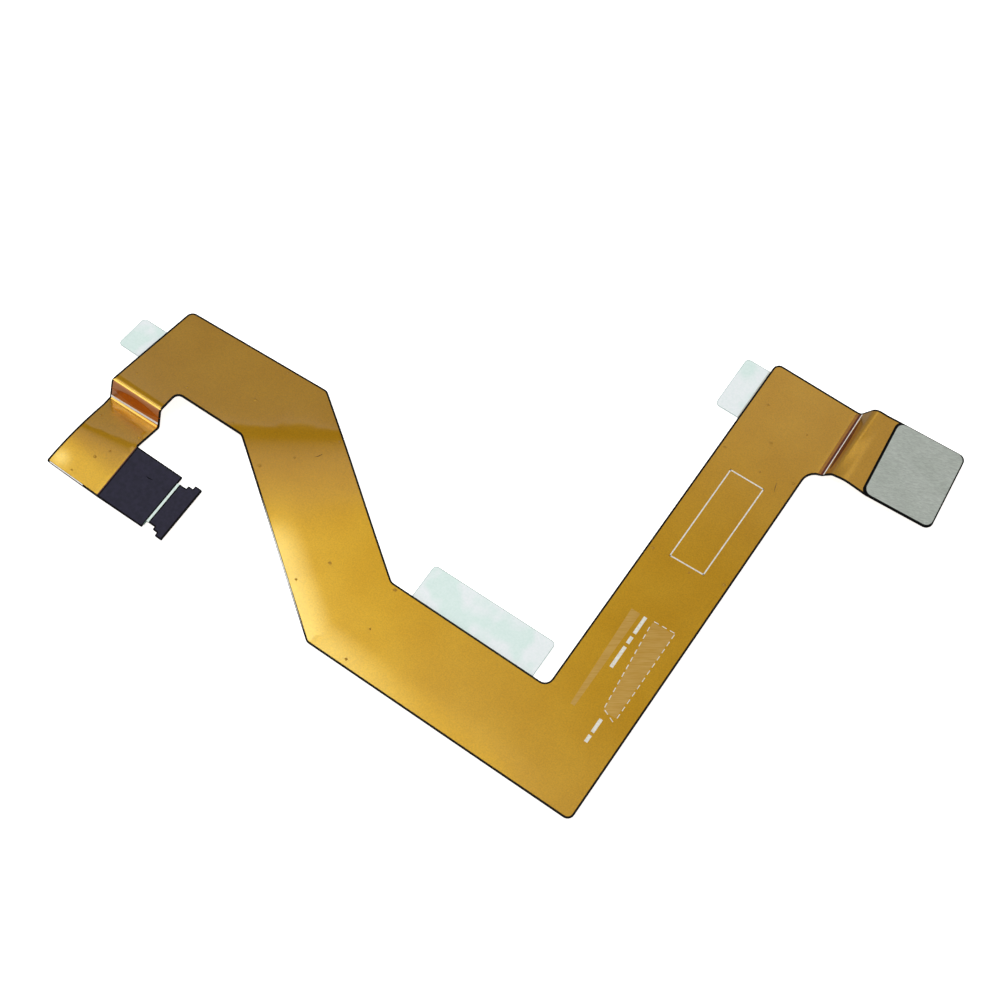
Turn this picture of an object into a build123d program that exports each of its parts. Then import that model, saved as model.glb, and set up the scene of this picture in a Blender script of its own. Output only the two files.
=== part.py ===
# Touchpad cable: a flexible circuit with a stepped tail, an eared tip and a board connector
# Origin at the middle of the bounding box, on the table, X along the cross arm, Y along the long arm
import os
from math import asin, atan, cos, degrees, radians, sin, tan

from build123d import *

# Sheet and what lies on it, thickness
sheet = 0.2
cover = 0.06
tape = 0.1
liner = 0.1
steel = 0.25
bond = 0.05                 # black bond film under the steel plate

# Plan, measured from the outer corner where the two long arms meet
arm_width = 13.5            # long arm, along Y
arm_length = 76.4
arm_taper = 0.25            # long arm narrower at its end
cross_width = 14.5          # cross arm, along X
cross_length = 45.6
cross_lean = 0.6            # degrees the cross arm opens from square
slant = 37.0                # degrees the middle arm turns from the cross arm
slant_length = 32.9         # along its near edge
slant_width = 14.32
head_width = 13.98          # left head
head_length = 25.0
head_lean = 2.1             # degrees its far edge runs off
side_lean = 4.4             # degrees its end edge runs off
tail_lean = 3.4             # degrees the tail's free edge runs off
corner_round = 1.1
inner_round = 1.2
notch_round = 0.9           # beside the ridge
strip_round = 2.2           # long arm into the strip
fine_round = 0.35

# Left step and tail
tail_level = 0.05           # underside of the tail and of the head's far edge
step = 3.8
step_run = 1.35             # how far the riser leans out
step_round = 0.55
foot_round = 0.25
ridge_back = 3.75           # ridge in front of the head's near edge
tail_width = 9.3
tail_slip = 0.75            # right edge of the tail runs in towards the film
tail_drop = 19.0            # head's near edge to the tail's near edge
film_width = 9.6
film_length = 8.4
tip_turn = 1.0              # degrees the film and the tip turn from the tail
bow = 1.4                   # how far the tail's free edge arches up
bow_end = 0.45              # its last corner, off the table

# Middle arm, where it comes down from the tilted head
fall_length = 21.0
crest_reach = 7.5           # where the crest meets the far edge

# Right step and landing, the fold and the knee not quite square to the strip
rise = 2.95                 # start of the landing above the flat arm
near_fold = 1.85            # fold beyond the long arm, at the strip's near edge
far_fold = 1.67
fold_round = 1.0
near_knee = (3.3, 2.15)     # knee beyond the long arm and above it
far_knee = (3.5, 3.45)
knee_round = 1.0
crest = 5.4                 # start of the landing
crest_round = 4.0
droop = 6.3                 # degrees the landing comes down to its free end
strip_width = 12.0
strip_top = 0.15            # strip below the arm's end
strip_flare = 0.35          # strip wider past the fold
pad_gap = 0.15              # bare sheet round the plate
plate_length = 10.95
plate_width = 12.8
plate_start = 7.8           # beyond the long arm
plate_shift = 0.83          # off the strip's middle
plate_turn = 5.65           # degrees
plate_round = 1.2
bond_edge = 0.12            # bond film past the plate
bond_lip = 0.3              # and on the side of the fold

# Eared tip
tip_length = 3.7
board_thick = 0.18
ear_length = 1.2
ear_notch = 0.6
neck_step = 0.52
shoulder = 0.85
mark_width = 0.45           # pale line between film and tip board
mark_thick = 0.03
finger_pitch = 0.5
finger_width = 0.3
finger_length = 2.2
finger_thick = 0.03
finger_edge = 0.9           # first finger from the tip's side

# Board connector under the plate
shell_length = 9.4
shell_width = 3.4
shell_height = 0.95
shell_floor = 0.3
tongue_width = 0.9
groove = 0.55
pin_pitch = 0.4
pin_count = 20
pin_width = 0.16
pin_thick = 0.1
foot_reach = 0.55
nail_length = 0.5
nail_reach = 0.4

# Tapes and release liners
head_tape_back = 6.15       # far edge of the head to the tape
head_tape_length = 9.0
head_tape_width = 6.07
head_tab = 4.2
cross_tape_start = 16.0     # from the long arm's outer edge
cross_tape_length = 21.2
cross_tape_width = 5.5
cross_tab = 6.1
arm_tape_back = 1.7         # long arm's end to the tape
arm_tape_length = 9.25
arm_tape_width = 5.4
arm_tab = 3.9
tab_round = 0.7

# Values that follow
level = tape + liner        # underside of the flat arms
reach = 3.0                 # helper surfaces run past the outline
far = 2 * (arm_length + cross_length)
pad_length = plate_length + pad_gap + pad_gap
pad_width = plate_width + pad_gap + pad_gap


def polar(start, angle, length):
    # Point at a distance in a direction
    x = start[0] + length * cos(radians(angle))
    y = start[1] + length * sin(radians(angle))
    return (x, y)


def cross(start, angle, other, turn):
    # Where two plan lines meet
    away = (other[0] - start[0], other[1] - start[1])
    span = sin(radians(turn - angle))
    length = (away[0] * sin(radians(turn)) - away[1] * cos(radians(turn))) / span
    return polar(start, angle, length)


# Corners of the plan
along_slant = 180 - slant
outer_corner = (0, 0)
near_bend = polar(outer_corner, 180 - cross_lean, cross_length)
near_head = polar(near_bend, along_slant, slant_length)
inner_corner = (-arm_width, cross_width)
far_slant = polar(near_bend, along_slant - 90, slant_width)
far_bend = cross(inner_corner, 180 - cross_lean, far_slant, along_slant)
far_head = cross(far_slant, along_slant, (near_head[0], near_head[1] + head_width), 0)
far_end = polar(far_head, 180 + head_lean, head_length)
tail_near = near_head[1] - tail_drop
side_angle = 270 - side_lean
film_far = tail_near + film_width
ridge_y = near_head[1] - ridge_back
foot_y = ridge_y - step_run
foot_left = cross(far_end, side_angle, (0, foot_y), 0)
tail_right = foot_left[0] + tail_width
tail_corner = cross(foot_left, 270 - tail_lean, (0, tail_near), 0)
film_start = tail_right - tail_slip
film_end = film_start + film_length
tip_end = film_end + tip_length
ear_x = tip_end - ear_length
shoulder_x = ear_x - shoulder
neck_in = ear_notch + neck_step
board_start = film_end + mark_width
tip_round = mark_width / 4
strip_far = arm_length - strip_top
strip_near = strip_far - strip_width
plate_middle = (plate_start + plate_length / 2, strip_far - strip_width / 2 + plate_shift)

# Tilt of the head, from its far edge on the table up to the ridge
low_edge = far_head[1]
slope = step / (low_edge - ridge_y)


def head_height(y):
    # Underside of the tilted head
    return tail_level + (low_edge - y) * slope


def turned(point):
    # Plan point of the turned and drooping plate
    spot = Vector(point[0], point[1]).rotate(Axis.Z, plate_turn)
    return Vector(spot.X * cos(radians(droop)), spot.Y) + Vector(*plate_middle)


def leaned(x, y):
    # Plan point turned with the film and the tip
    spot = Vector(x - film_start, y - tail_near).rotate(Axis.Z, -tip_turn)
    return (film_start + spot.X, tail_near + spot.Y)


def plan(points, radii):
    # Plan face with a radius at each corner
    return make_face(FilletPolyline(*points, radius=radii, close=True))


def flat(points, bottom, thick):
    # Flat prism of plan points on a level
    return Pos(0, 0, bottom) * extrude(make_face(Polyline(*points, close=True)), amount=thick)


def tilted(points, drop, thick):
    # Prism that follows the tilted head, below its underside by drop
    raised = [(x, y, head_height(y) - drop) for x, y in points]
    return extrude(make_face(Polyline(*raised, close=True)), amount=thick, dir=(0, 0, 1))


def box_points(left, right, near, top):
    # Corners of an upright rectangle in plan
    return [(left, near), (right, near), (right, top), (left, top)]


def upright(face):
    # Tall prism that trims to a plan outline
    return extrude(face, amount=far, both=True)


# Plan outline of the whole sheet
pad_half = (pad_length / 2, pad_width / 2)
pad_near_left = turned((plate_round / 2 - pad_half[0], -pad_half[1]))
pad_near_right = turned((pad_half[0], -pad_half[1]))
pad_far_right = turned((pad_half[0], pad_half[1]))
pad_far_left = turned((-pad_half[0], pad_half[1]))
tip_middle = (tail_near + film_far) / 2
tip_half = [(film_end, 0), (film_end, neck_in), (board_start, neck_in), (shoulder_x, neck_in)]
tip_half.extend([(shoulder_x, ear_notch), (ear_x, ear_notch), (ear_x, 0), (tip_end, 0)])
tip_ring = [(x, tail_near + y) for x, y in tip_half] + [(x, film_far - y) for x, y in reversed(tip_half)]
tip_outline = [(leaned(x, y), tip_round) for x, y in tip_ring if x != board_start]
board_corners = [leaned(x, y) for x, y in tip_ring if x >= board_start]
outline = []
outline.append((outer_corner, corner_round))
outline.append(((0, strip_near), strip_round))
outline.append(((near_knee[0], strip_near), fine_round))
outline.append((pad_near_left, plate_round))
outline.append((pad_near_right, plate_round))
outline.append((pad_far_right, plate_round))
outline.append((pad_far_left, fine_round))
outline.append(((far_knee[0], strip_far + strip_flare), fine_round))
outline.append(((far_fold, strip_far), fine_round))
outline.append(((0, strip_far), fine_round))
outline.append(((arm_taper - arm_width, arm_length), corner_round))
outline.append((inner_corner, inner_round))
outline.append((far_bend, corner_round))
outline.append((far_head, corner_round))
outline.append((far_end, corner_round))
outline.append((foot_left, fine_round))
outline.append((tail_corner, fine_round))
outline.extend(tip_outline)
outline.append(((film_start, film_far), fine_round / 2))
outline.append(((tail_right, foot_y), fine_round))
outline.append(((tail_right, near_head[1]), notch_round))
outline.append((near_head, corner_round))
outline.append((near_bend, corner_round))
sheet_plan = plan([corner for corner, radius in outline], [radius for corner, radius in outline])

# Tilted head, up to the crest line
crest_far = polar(far_head, -slant, crest_reach)
crest_angle = degrees(atan((crest_far[1] - near_head[1]) / (crest_far[0] - near_head[0])))
crest_low = polar(near_head, crest_angle + 180, reach)
crest_high = polar(crest_far, crest_angle, reach)
join_y = ridge_y + step_round * 2
head_points = [crest_low, crest_high, (crest_high[0], far), (-far, far)]
head_points.extend([(-far, join_y), (crest_low[0], join_y)])
head = tilted(head_points, 0, sheet)

# Middle arm coming down from the crest line to the flat, ruled from one edge curve to the other
fall_low = polar(polar(near_head, -slant, fall_length), -slant - 90, reach)
fall_high = polar(fall_low, 90 - slant, slant_width + 2 * reach)


def falling_edge(top, foot):
    # Curve that leaves the head's slope and runs out level
    run = Vector(foot[0] - top[0], foot[1] - top[1]).normalized()
    start = (top[0], top[1], head_height(top[1]))
    leave = (run.X, run.Y, -slope * run.Y)
    return Spline(start, (foot[0], foot[1], level), tangents=(leave, (run.X, run.Y, 0))).edge()


near_fall = falling_edge(crest_low, fall_low)
far_fall = falling_edge(crest_high, fall_high)
fall_face = Face.make_surface_from_curves(near_fall, far_fall)
fall = extrude(fall_face, amount=sheet, dir=(0, 0, 1))

# Flat arms
flat_end = far_fold - fold_round
flat_points = [fall_low, (fall_low[0], -reach), (flat_end, -reach)]
flat_points.extend([(flat_end, far), (fall_high[0], far), fall_high])
arms = flat(flat_points, level, sheet)


def strip_face(points, radii, thick):
    # Side profile of a bent sheet, thick above its underside line
    under = FilletPolyline(*points, radius=radii)
    return make_face(offset(under, amount=thick, side=Side.LEFT))


# Left step, bent about X
fold_start = ridge_y + 4 * step_round
tail_start = foot_y - 3 * step_round
fold_line = [(tail_start - sheet, tail_level), (foot_y, tail_level), (ridge_y, tail_level + step)]
fold_line.append((fold_start, head_height(fold_start)))
fold_profile = strip_face(fold_line, [foot_round + sheet, step_round], sheet * cos(atan(slope)))
fold_block = extrude(Plane.YZ * fold_profile, amount=far, both=True)
fold = fold_block & flat(box_points(-far, film_start + reach, tail_start, join_y), -reach, far)

# Tail, its free edge arched up and its other edge flat with the film
bow_x = foot_left[0] - reach
bow_foot = tail_near - reach
bow_start = (bow_x, tail_start, tail_level)
bow_top = (bow_x, (tail_start + bow_foot) / 2, tail_level + bow)
bow_stop = (bow_x, bow_foot, tail_level + bow_end)
bow_edge = Edge.make_three_point_arc(bow_start, bow_top, bow_stop)
film_line = Edge.make_line((film_start, tail_start, tail_level), (film_start, bow_foot, tail_level))
tail = extrude(Face.make_surface_from_curves(bow_edge, film_line), amount=sheet, dir=(0, 0, 1))
film_bed = flat(box_points(film_start, tip_end + reach, bow_foot, tail_start), tail_level, sheet)

# Right step, ruled between its two edge profiles, and the landing that carries the plate
top_level = level + rise
landing_end = plate_middle[0] + pad_width


def landing_height(x):
    # Underside of the drooping landing
    return top_level - (x - crest) * tan(radians(droop))


def climb_section(share):
    # Side profile at a share of the way from the near edge of the strip to its far edge
    fold_x = near_fold + (far_fold - near_fold) * share
    knee_x = near_knee[0] + (far_knee[0] - near_knee[0]) * share
    knee_z = near_knee[1] + (far_knee[1] - near_knee[1]) * share
    points = [(flat_end - sheet, level), (fold_x, level), (knee_x, level + knee_z)]
    points.extend([(crest, top_level), (landing_end, landing_height(landing_end))])
    section = strip_face(points, [fold_round, knee_round, crest_round], sheet)
    return Pos(0, strip_near + strip_width * share, 0) * (Plane.XZ * section)


past = reach / strip_width
climb_block = loft([climb_section(-past), climb_section(1 + past)], ruled=True)
climb = climb_block & flat(box_points(flat_end, far, -far, far), -reach, far)

# The whole sheet, trimmed to its outline
bent = head + fall + arms + fold + tail + film_bed + climb
flex_circuit = bent & upright(sheet_plan)

# Black film on the tail, and the eared board on its tip
sheet_top = tail_level + sheet
film_points = [(film_start, tail_near), leaned(film_end, tail_near), leaned(film_end, film_far)]
film_points.append((film_start, film_far))
film_plan = plan(film_points, fine_round / 2)
tail_film = Pos(0, 0, sheet_top) * extrude(film_plan, amount=cover)
tip_board = Pos(0, 0, sheet_top) * extrude(plan(board_corners, tip_round), amount=board_thick)
line_points = box_points(film_end, board_start, tail_near + neck_in, film_far - neck_in)
insertion_line = flat([leaned(x, y) for x, y in line_points], sheet_top, mark_thick)

# Contact fingers under the tip
finger_count = int((film_width - 2 * finger_edge) / finger_pitch) + 1
finger_span = (finger_count - 1) * finger_pitch
fingers = []
for number in range(finger_count):
    middle = tip_middle - finger_span / 2 + number * finger_pitch
    low = middle - finger_width / 2
    finger = box_points(tip_end - finger_length, tip_end, low, low + finger_width)
    fingers.append(flat([leaned(x, y) for x, y in finger], tail_level - finger_thick, finger_thick))

# Steel plate and its bond film, and the connector under them, drawn flat and then moved to the landing
plate_spot = Pos(plate_middle[0], plate_middle[1], landing_height(plate_middle[0]))
place = plate_spot * Rot(0, droop, 0) * Rot(0, 0, plate_turn)
steel_face = RectangleRounded(plate_length, plate_width, plate_round - pad_gap)
stiffener_plate = place * Pos(0, 0, sheet + bond) * extrude(steel_face, amount=steel)
bond_length = plate_length + bond_edge + bond_lip
bond_face = RectangleRounded(bond_length, plate_width + 2 * bond_edge, plate_round - pad_gap)
plate_bond = place * Pos((bond_edge - bond_lip) / 2, 0, sheet) * extrude(bond_face, amount=bond)
shell_face = RectangleRounded(shell_width, shell_length, groove / 2)
shell_block = Pos(0, 0, -shell_height) * extrude(shell_face, amount=shell_height)
ring_width = tongue_width + 2 * groove
ring_length = shell_length - (shell_width - ring_width)
tongue = Rectangle(tongue_width, ring_length - 2 * groove)
ring = RectangleRounded(ring_width, ring_length, groove / 2) - tongue
shell = shell_block - Pos(0, 0, -shell_height) * extrude(ring, amount=shell_height - shell_floor)
foot_out = shell_width / 2 + foot_reach
blade_x = tongue_width / 2
pin_line = [(foot_out, 0), (blade_x, 0), (blade_x, pin_thick / 2 - shell_height)]
pin_path = FilletPolyline(*pin_line, radius=2 * pin_thick)
pin_face = make_face(offset(pin_path, amount=pin_thick, side=Side.LEFT))
pin = extrude(Plane.XZ * pin_face, amount=pin_width / 2, both=True)
pins = []
for number in range(pin_count):
    middle = (number - (pin_count - 1) / 2) * pin_pitch
    pins.append(Pos(0, middle, 0) * pin)
    pins.append(Pos(0, middle, 0) * Rot(0, 0, 180) * pin)
for one in pins:
    shell = shell - one
nail_wide = shell_width - 2 * groove
nail_y = shell_length / 2
nail_line = [(nail_y + nail_length, 0), (nail_y, 0), (nail_y, shell_floor - shell_height)]
nail_bend = offset(Polyline(*nail_line), amount=pin_thick, side=Side.LEFT, kind=Kind.INTERSECTION)
nail_face = make_face(nail_bend)
nail = extrude(Plane.YZ * nail_face, amount=nail_wide / 2, both=True)
nails = [nail, Rot(0, 0, 180) * nail]

# Tapes and their liners, the liners' tabs standing out past the sheet
side_x = foot_left[0] + (far_end[0] - foot_left[0]) / 2
head_top = low_edge - head_tape_back
head_low = head_top - head_tape_width
head_radii = [tab_round, fine_round, fine_round, tab_round]
head_inner = side_x + head_tape_length
head_tape = tilted(box_points(side_x + fine_round, head_inner, head_low, head_top), tape, tape)
head_tab_plan = plan(box_points(side_x - head_tab, head_inner, head_low, head_top), head_radii)
head_liner = tilted(box_points(-far, far, head_low - reach, head_top + reach), tape + liner, liner)
head_liner = head_liner & upright(head_tab_plan)


def flat_pad(left, right, near, top, tab_corners):
    # Tape or liner plan with its tab's corners well rounded
    radii = [tab_round if number in tab_corners else fine_round for number in range(4)]
    return plan(box_points(left, right, near, top), radii)


cross_right = -cross_tape_start
cross_left = cross_right - cross_tape_length
cross_near = cross_width - cross_tape_width
cross_tape = flat(box_points(cross_left, cross_right, cross_near, cross_width), liner, tape)
cross_top = cross_width + cross_tab
cross_liner = extrude(flat_pad(cross_left, cross_right, cross_near, cross_top, (2, 3)), amount=liner)
arm_top = arm_length - arm_tape_back
arm_near = arm_top - arm_tape_length
arm_right = arm_tape_width - arm_width
arm_tape = flat(box_points(-arm_width, arm_right, arm_near, arm_top), liner, tape)
arm_liner = extrude(flat_pad(-arm_width - arm_tab, arm_right, arm_near, arm_top, (0, 3)), amount=liner)

# One file for each node, on the origin
parts = {}
parts["flex_circuit"] = flex_circuit
parts["tail_film"] = tail_film
parts["insertion_line"] = insertion_line
parts["tip_board"] = tip_board
parts["contact_fingers"] = Compound(children=fingers)
parts["plate_bond"] = plate_bond
parts["stiffener_plate"] = stiffener_plate
parts["connector_shell"] = place * shell
parts["connector_pins"] = Compound(children=[place * one for one in pins])
parts["connector_nails"] = Compound(children=[place * one for one in nails])
parts["head_tape"] = head_tape
parts["cross_tape"] = cross_tape
parts["arm_tape"] = arm_tape
parts["head_liner"] = head_liner
parts["cross_liner"] = cross_liner
parts["arm_liner"] = arm_liner

boxes = [shape.bounding_box() for shape in parts.values()]
left = min(box.min.X for box in boxes)
right = max(box.max.X for box in boxes)
near = min(box.min.Y for box in boxes)
top = max(box.max.Y for box in boxes)
origin = Pos(-(left + right) / 2, -(near + top) / 2, -min(box.min.Z for box in boxes))
os.makedirs("parts", exist_ok=True)
for name, shape in parts.items():
    export_step(origin * shape, "parts/" + name + ".step")
print("origin", -(left + right) / 2, -(near + top) / 2, "size", right - left, top - near)
print("height", max(box.max.Z for box in boxes) - min(box.min.Z for box in boxes))
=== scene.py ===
from math import atan, cos, exp, log, pi, radians, sin, sqrt, tan

import bmesh
import bpy
from mathutils import Matrix, Vector


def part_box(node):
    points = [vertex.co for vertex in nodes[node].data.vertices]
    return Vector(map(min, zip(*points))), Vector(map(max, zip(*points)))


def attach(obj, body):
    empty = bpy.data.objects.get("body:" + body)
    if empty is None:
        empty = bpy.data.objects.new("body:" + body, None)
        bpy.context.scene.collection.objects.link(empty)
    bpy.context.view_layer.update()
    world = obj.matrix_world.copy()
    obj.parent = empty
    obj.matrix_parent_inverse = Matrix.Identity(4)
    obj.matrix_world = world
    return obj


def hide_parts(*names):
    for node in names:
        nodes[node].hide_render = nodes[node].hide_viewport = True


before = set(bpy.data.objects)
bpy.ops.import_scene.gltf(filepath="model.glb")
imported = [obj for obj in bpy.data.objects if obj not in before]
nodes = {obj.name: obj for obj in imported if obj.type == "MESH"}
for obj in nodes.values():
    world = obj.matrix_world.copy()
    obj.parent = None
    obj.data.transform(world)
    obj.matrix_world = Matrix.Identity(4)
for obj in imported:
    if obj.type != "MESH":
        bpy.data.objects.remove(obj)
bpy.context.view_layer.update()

mm = 0.001
scene = bpy.context.scene
print("frame loaded", len(nodes), "nodes")


# small helpers


def linear(code):
    out = []
    for i in (1, 3, 5):
        c = int(code[i:i + 2], 16) / 255
        out.append(c / 12.92 if c <= 0.04045 else ((c + 0.055) / 1.055) ** 2.4)
    return (*out, 1.0)


def addNode(tree, kind, settings=None, links=None):
    node = tree.nodes.new(kind)
    for key, value in (settings or {}).items():
        if isinstance(key, int) or key in node.inputs:
            node.inputs[key].default_value = value
        else:
            setattr(node, key, value)
    for key, source in (links or {}).items():
        tree.links.new(source, node.inputs[key])
    return node


def newMaterial(name, settings):
    material = bpy.data.materials.new(name)
    material.use_nodes = True
    shader = material.node_tree.nodes["Principled BSDF"]
    for key, value in settings.items():
        shader.inputs[key].default_value = value
    return material, material.node_tree, shader


def finishPiece(bm, name, materials):
    mesh = bpy.data.meshes.new(name)
    bm.to_mesh(mesh)
    bm.free()
    for material in materials:
        mesh.materials.append(material)
    obj = bpy.data.objects.new(name, mesh)
    scene.collection.objects.link(obj)
    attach(obj, "root")
    return obj


def dress(name, material):
    mesh = nodes[name].data
    mesh.materials.clear()
    mesh.materials.append(material)


def faceUp(bm):
    # all faces of an open sheet look up
    bmesh.ops.recalc_face_normals(bm, faces=bm.faces)
    if sum(f.normal.z for f in bm.faces) < 0:
        bmesh.ops.reverse_faces(bm, faces=bm.faces)


def rimmedFace(bm, outer, inner):
    # one face with a rim of the second material round it
    bm.faces.new(inner)
    for i in range(len(outer)):
        j = (i + 1) % len(outer)
        bm.faces.new((outer[i], outer[j], inner[j], inner[i])).material_index = 1


def thicken(bm, way):
    # closed slab from a flat face
    made = bmesh.ops.extrude_face_region(bm, geom=list(bm.faces))["geom"]
    bmesh.ops.translate(bm, verts=[g for g in made if isinstance(g, bmesh.types.BMVert)], vec=way)
    bmesh.ops.recalc_face_normals(bm, faces=bm.faces)


# plan of the sheet, in mm from the outer corner of the long arms, as in the CAD

plan = {
    "sheet": 0.2, "level": 0.2, "armWidth": 13.5, "armLength": 76.4, "armTaper": 0.25, "crossWidth": 14.5,
    "crossLength": 45.6, "crossLean": 0.6, "slant": 37.0, "slantLength": 32.9, "slantWidth": 14.32,
    "headWidth": 13.98, "headLength": 25.0, "headLean": 2.1, "sideLean": 4.4, "tailLean": 3.4,
    "tailLevel": 0.05, "step": 3.8, "stepRun": 1.35, "stepRound": 0.55, "footRound": 0.25, "ridgeBack": 3.75,
    "tailWidth": 9.3, "tailSlip": 0.75, "tailDrop": 19.0, "filmWidth": 9.6, "filmLength": 8.4, "tipTurn": 1.0,
    "bow": 1.4, "bowEnd": 0.45, "fallLength": 21.0, "crestReach": 7.5, "rise": 2.95, "nearFold": 1.85,
    "farFold": 1.67, "foldRound": 1.0, "nearKnee": (3.3, 2.15), "farKnee": (3.5, 3.45), "kneeRound": 1.0,
    "crest": 5.4, "crestRound": 4.0, "droop": 6.3, "stripWidth": 12.0, "stripTop": 0.15, "stripFlare": 0.35,
    "padGap": 0.15, "plateLength": 10.95, "plateWidth": 12.8, "plateStart": 7.8, "plateShift": 0.83,
    "plateTurn": 5.65, "tipLength": 3.7, "earLength": 1.2, "earNotch": 0.6, "neckStep": 0.52, "shoulder": 0.85,
    "markWidth": 0.45, "cornerRound": 1.1, "innerRound": 1.2, "notchRound": 0.9, "stripRound": 2.2,
    "fineRound": 0.35, "plateRound": 1.2, "reach": 3.0, "tapeEnd": 37.2, "tapeNear": 9.0,
}
sheet, level = plan["sheet"], plan["level"]


def polar(start, angle, length):
    return (start[0] + length * cos(radians(angle)), start[1] + length * sin(radians(angle)))


def crossing(start, angle, other, turn):
    away = (other[0] - start[0], other[1] - start[1])
    span = sin(radians(turn - angle))
    return polar(start, angle, (away[0] * sin(radians(turn)) - away[1] * cos(radians(turn))) / span)


armWidth, armLength, slant = plan["armWidth"], plan["armLength"], plan["slant"]
nearBend = polar((0, 0), 180 - plan["crossLean"], plan["crossLength"])
nearHead = polar(nearBend, 180 - slant, plan["slantLength"])
innerCorner = (-armWidth, plan["crossWidth"])
farSlant = polar(nearBend, 90 - slant, plan["slantWidth"])
farBend = crossing(innerCorner, 180 - plan["crossLean"], farSlant, 180 - slant)
farHead = crossing(farSlant, 180 - slant, (nearHead[0], nearHead[1] + plan["headWidth"]), 0)
farEnd = polar(farHead, 180 + plan["headLean"], plan["headLength"])
tailNear = nearHead[1] - plan["tailDrop"]
sideAngle = 270 - plan["sideLean"]
filmFar = tailNear + plan["filmWidth"]
ridgeY = nearHead[1] - plan["ridgeBack"]
footY = ridgeY - plan["stepRun"]
footLeft = crossing(farEnd, sideAngle, (0, footY), 0)
tailCorner = crossing(footLeft, 270 - plan["tailLean"], (0, tailNear), 0)
tailRight = footLeft[0] + plan["tailWidth"]
filmStart = tailRight - plan["tailSlip"]
filmEnd = filmStart + plan["filmLength"]
tipEnd = filmEnd + plan["tipLength"]
earX = tipEnd - plan["earLength"]
shoulderX = earX - plan["shoulder"]
neckIn = plan["earNotch"] + plan["neckStep"]
boardStart = filmEnd + plan["markWidth"]
stripFar = armLength - plan["stripTop"]
stripNear = stripFar - plan["stripWidth"]
plateMiddle = (plan["plateStart"] + plan["plateLength"] / 2,
               stripFar - plan["stripWidth"] / 2 + plan["plateShift"])
lowEdge = farHead[1]
headSlope = plan["step"] / (lowEdge - ridgeY)
tailLevel, topLevel = plan["tailLevel"], level + plan["rise"]
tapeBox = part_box("cross_tape")
shift = (tapeBox[0].x / mm + plan["tapeEnd"], tapeBox[0].y / mm - plan["tapeNear"])  # from plan to frame
print("plan placed, shift", shift)


def toFrame(x, y, z):
    return Vector(((x + shift[0]) * mm, (y + shift[1]) * mm, z * mm))


def turned(x, y):
    # plan point of the turned and drooping plate
    a = radians(plan["plateTurn"])
    along, across = x * cos(a) - y * sin(a), x * sin(a) + y * cos(a)
    return (plateMiddle[0] + along * cos(radians(plan["droop"])), plateMiddle[1] + across)


def leaned(x, y):
    # plan point turned with the film and the tip
    spot = Matrix.Rotation(-radians(plan["tipTurn"]), 2) @ Vector((x - filmStart, y - tailNear))
    return (filmStart + spot.x, tailNear + spot.y)


padX, padY = plan["plateLength"] / 2 + plan["padGap"], plan["plateWidth"] / 2 + plan["padGap"]
cornerRound, fineRound, plateRound = plan["cornerRound"], plan["fineRound"], plan["plateRound"]
nearKnee, farKnee = plan["nearKnee"], plan["farKnee"]
tipHalf = [(filmEnd, 0), (filmEnd, neckIn), (shoulderX, neckIn), (shoulderX, plan["earNotch"]),
           (earX, plan["earNotch"]), (earX, 0), (tipEnd, 0)]
boardHalf = [(max(x, boardStart), y) for x, y in tipHalf[1:]]
tipRound = plan["markWidth"] / 4


def tipRing(half):
    ring = [(x, tailNear + y) for x, y in half] + [(x, filmFar - y) for x, y in reversed(half)]
    return [(leaned(x, y), tipRound) for x, y in ring]


outline = [((0, 0), cornerRound), ((0, stripNear), plan["stripRound"]), ((nearKnee[0], stripNear), fineRound),
           (turned(plateRound / 2 - padX, -padY), plateRound), (turned(padX, -padY), plateRound),
           (turned(padX, padY), plateRound), (turned(-padX, padY), fineRound),
           ((farKnee[0], stripFar + plan["stripFlare"]), fineRound), ((plan["farFold"], stripFar), fineRound),
           ((0, stripFar), fineRound), ((plan["armTaper"] - armWidth, armLength), cornerRound),
           (innerCorner, plan["innerRound"]), (farBend, cornerRound), (farHead, cornerRound),
           (farEnd, cornerRound), (footLeft, fineRound), (tailCorner, fineRound)]
outline += tipRing(tipHalf)
outline += [((filmStart, filmFar), fineRound / 2), ((tailRight, footY), fineRound),
            ((tailRight, nearHead[1]), plan["notchRound"]), (nearHead, cornerRound), (nearBend, cornerRound)]


loopLook = {"leastRound": 0.02, "straight": 0.002}  # mm and radians


def roundedLoop(corners, inset=0.0, steps=6):
    # points of an outline with arcs, moved inward by inset; it runs anticlockwise
    pts = [Vector(c) for c, r in corners]
    count = len(pts)
    ways = [(pts[(i + 1) % count] - pts[i]).normalized() for i in range(count)]
    moved = []
    for i in range(count):
        a, b = ways[i - 1], ways[i]
        na, nb = Vector((-a.y, a.x)), Vector((-b.y, b.x))
        moved.append(pts[i] + (na + nb) * (inset / (1 + na.dot(nb))))
    loop = []
    for i in range(count):
        a, b = ways[i - 1], ways[i]
        turn = a.x * b.y - a.y * b.x
        radius = max(corners[i][1] - inset if turn > 0 else corners[i][1] + inset, loopLook["leastRound"])
        half = a.angle(b) / 2
        if half < loopLook["straight"]:
            loop.append(moved[i])
            continue
        back = radius * tan(half)
        side = 1 if turn > 0 else -1
        centre = moved[i] - a * back + Vector((-a.y, a.x)) * radius * side
        spoke = moved[i] - a * back - centre
        for k in range(steps + 1):
            loop.append(centre + Matrix.Rotation(side * 2 * half * k / steps, 2) @ spoke)
    return loop


# height of the sheet's upper face over the plan


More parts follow.
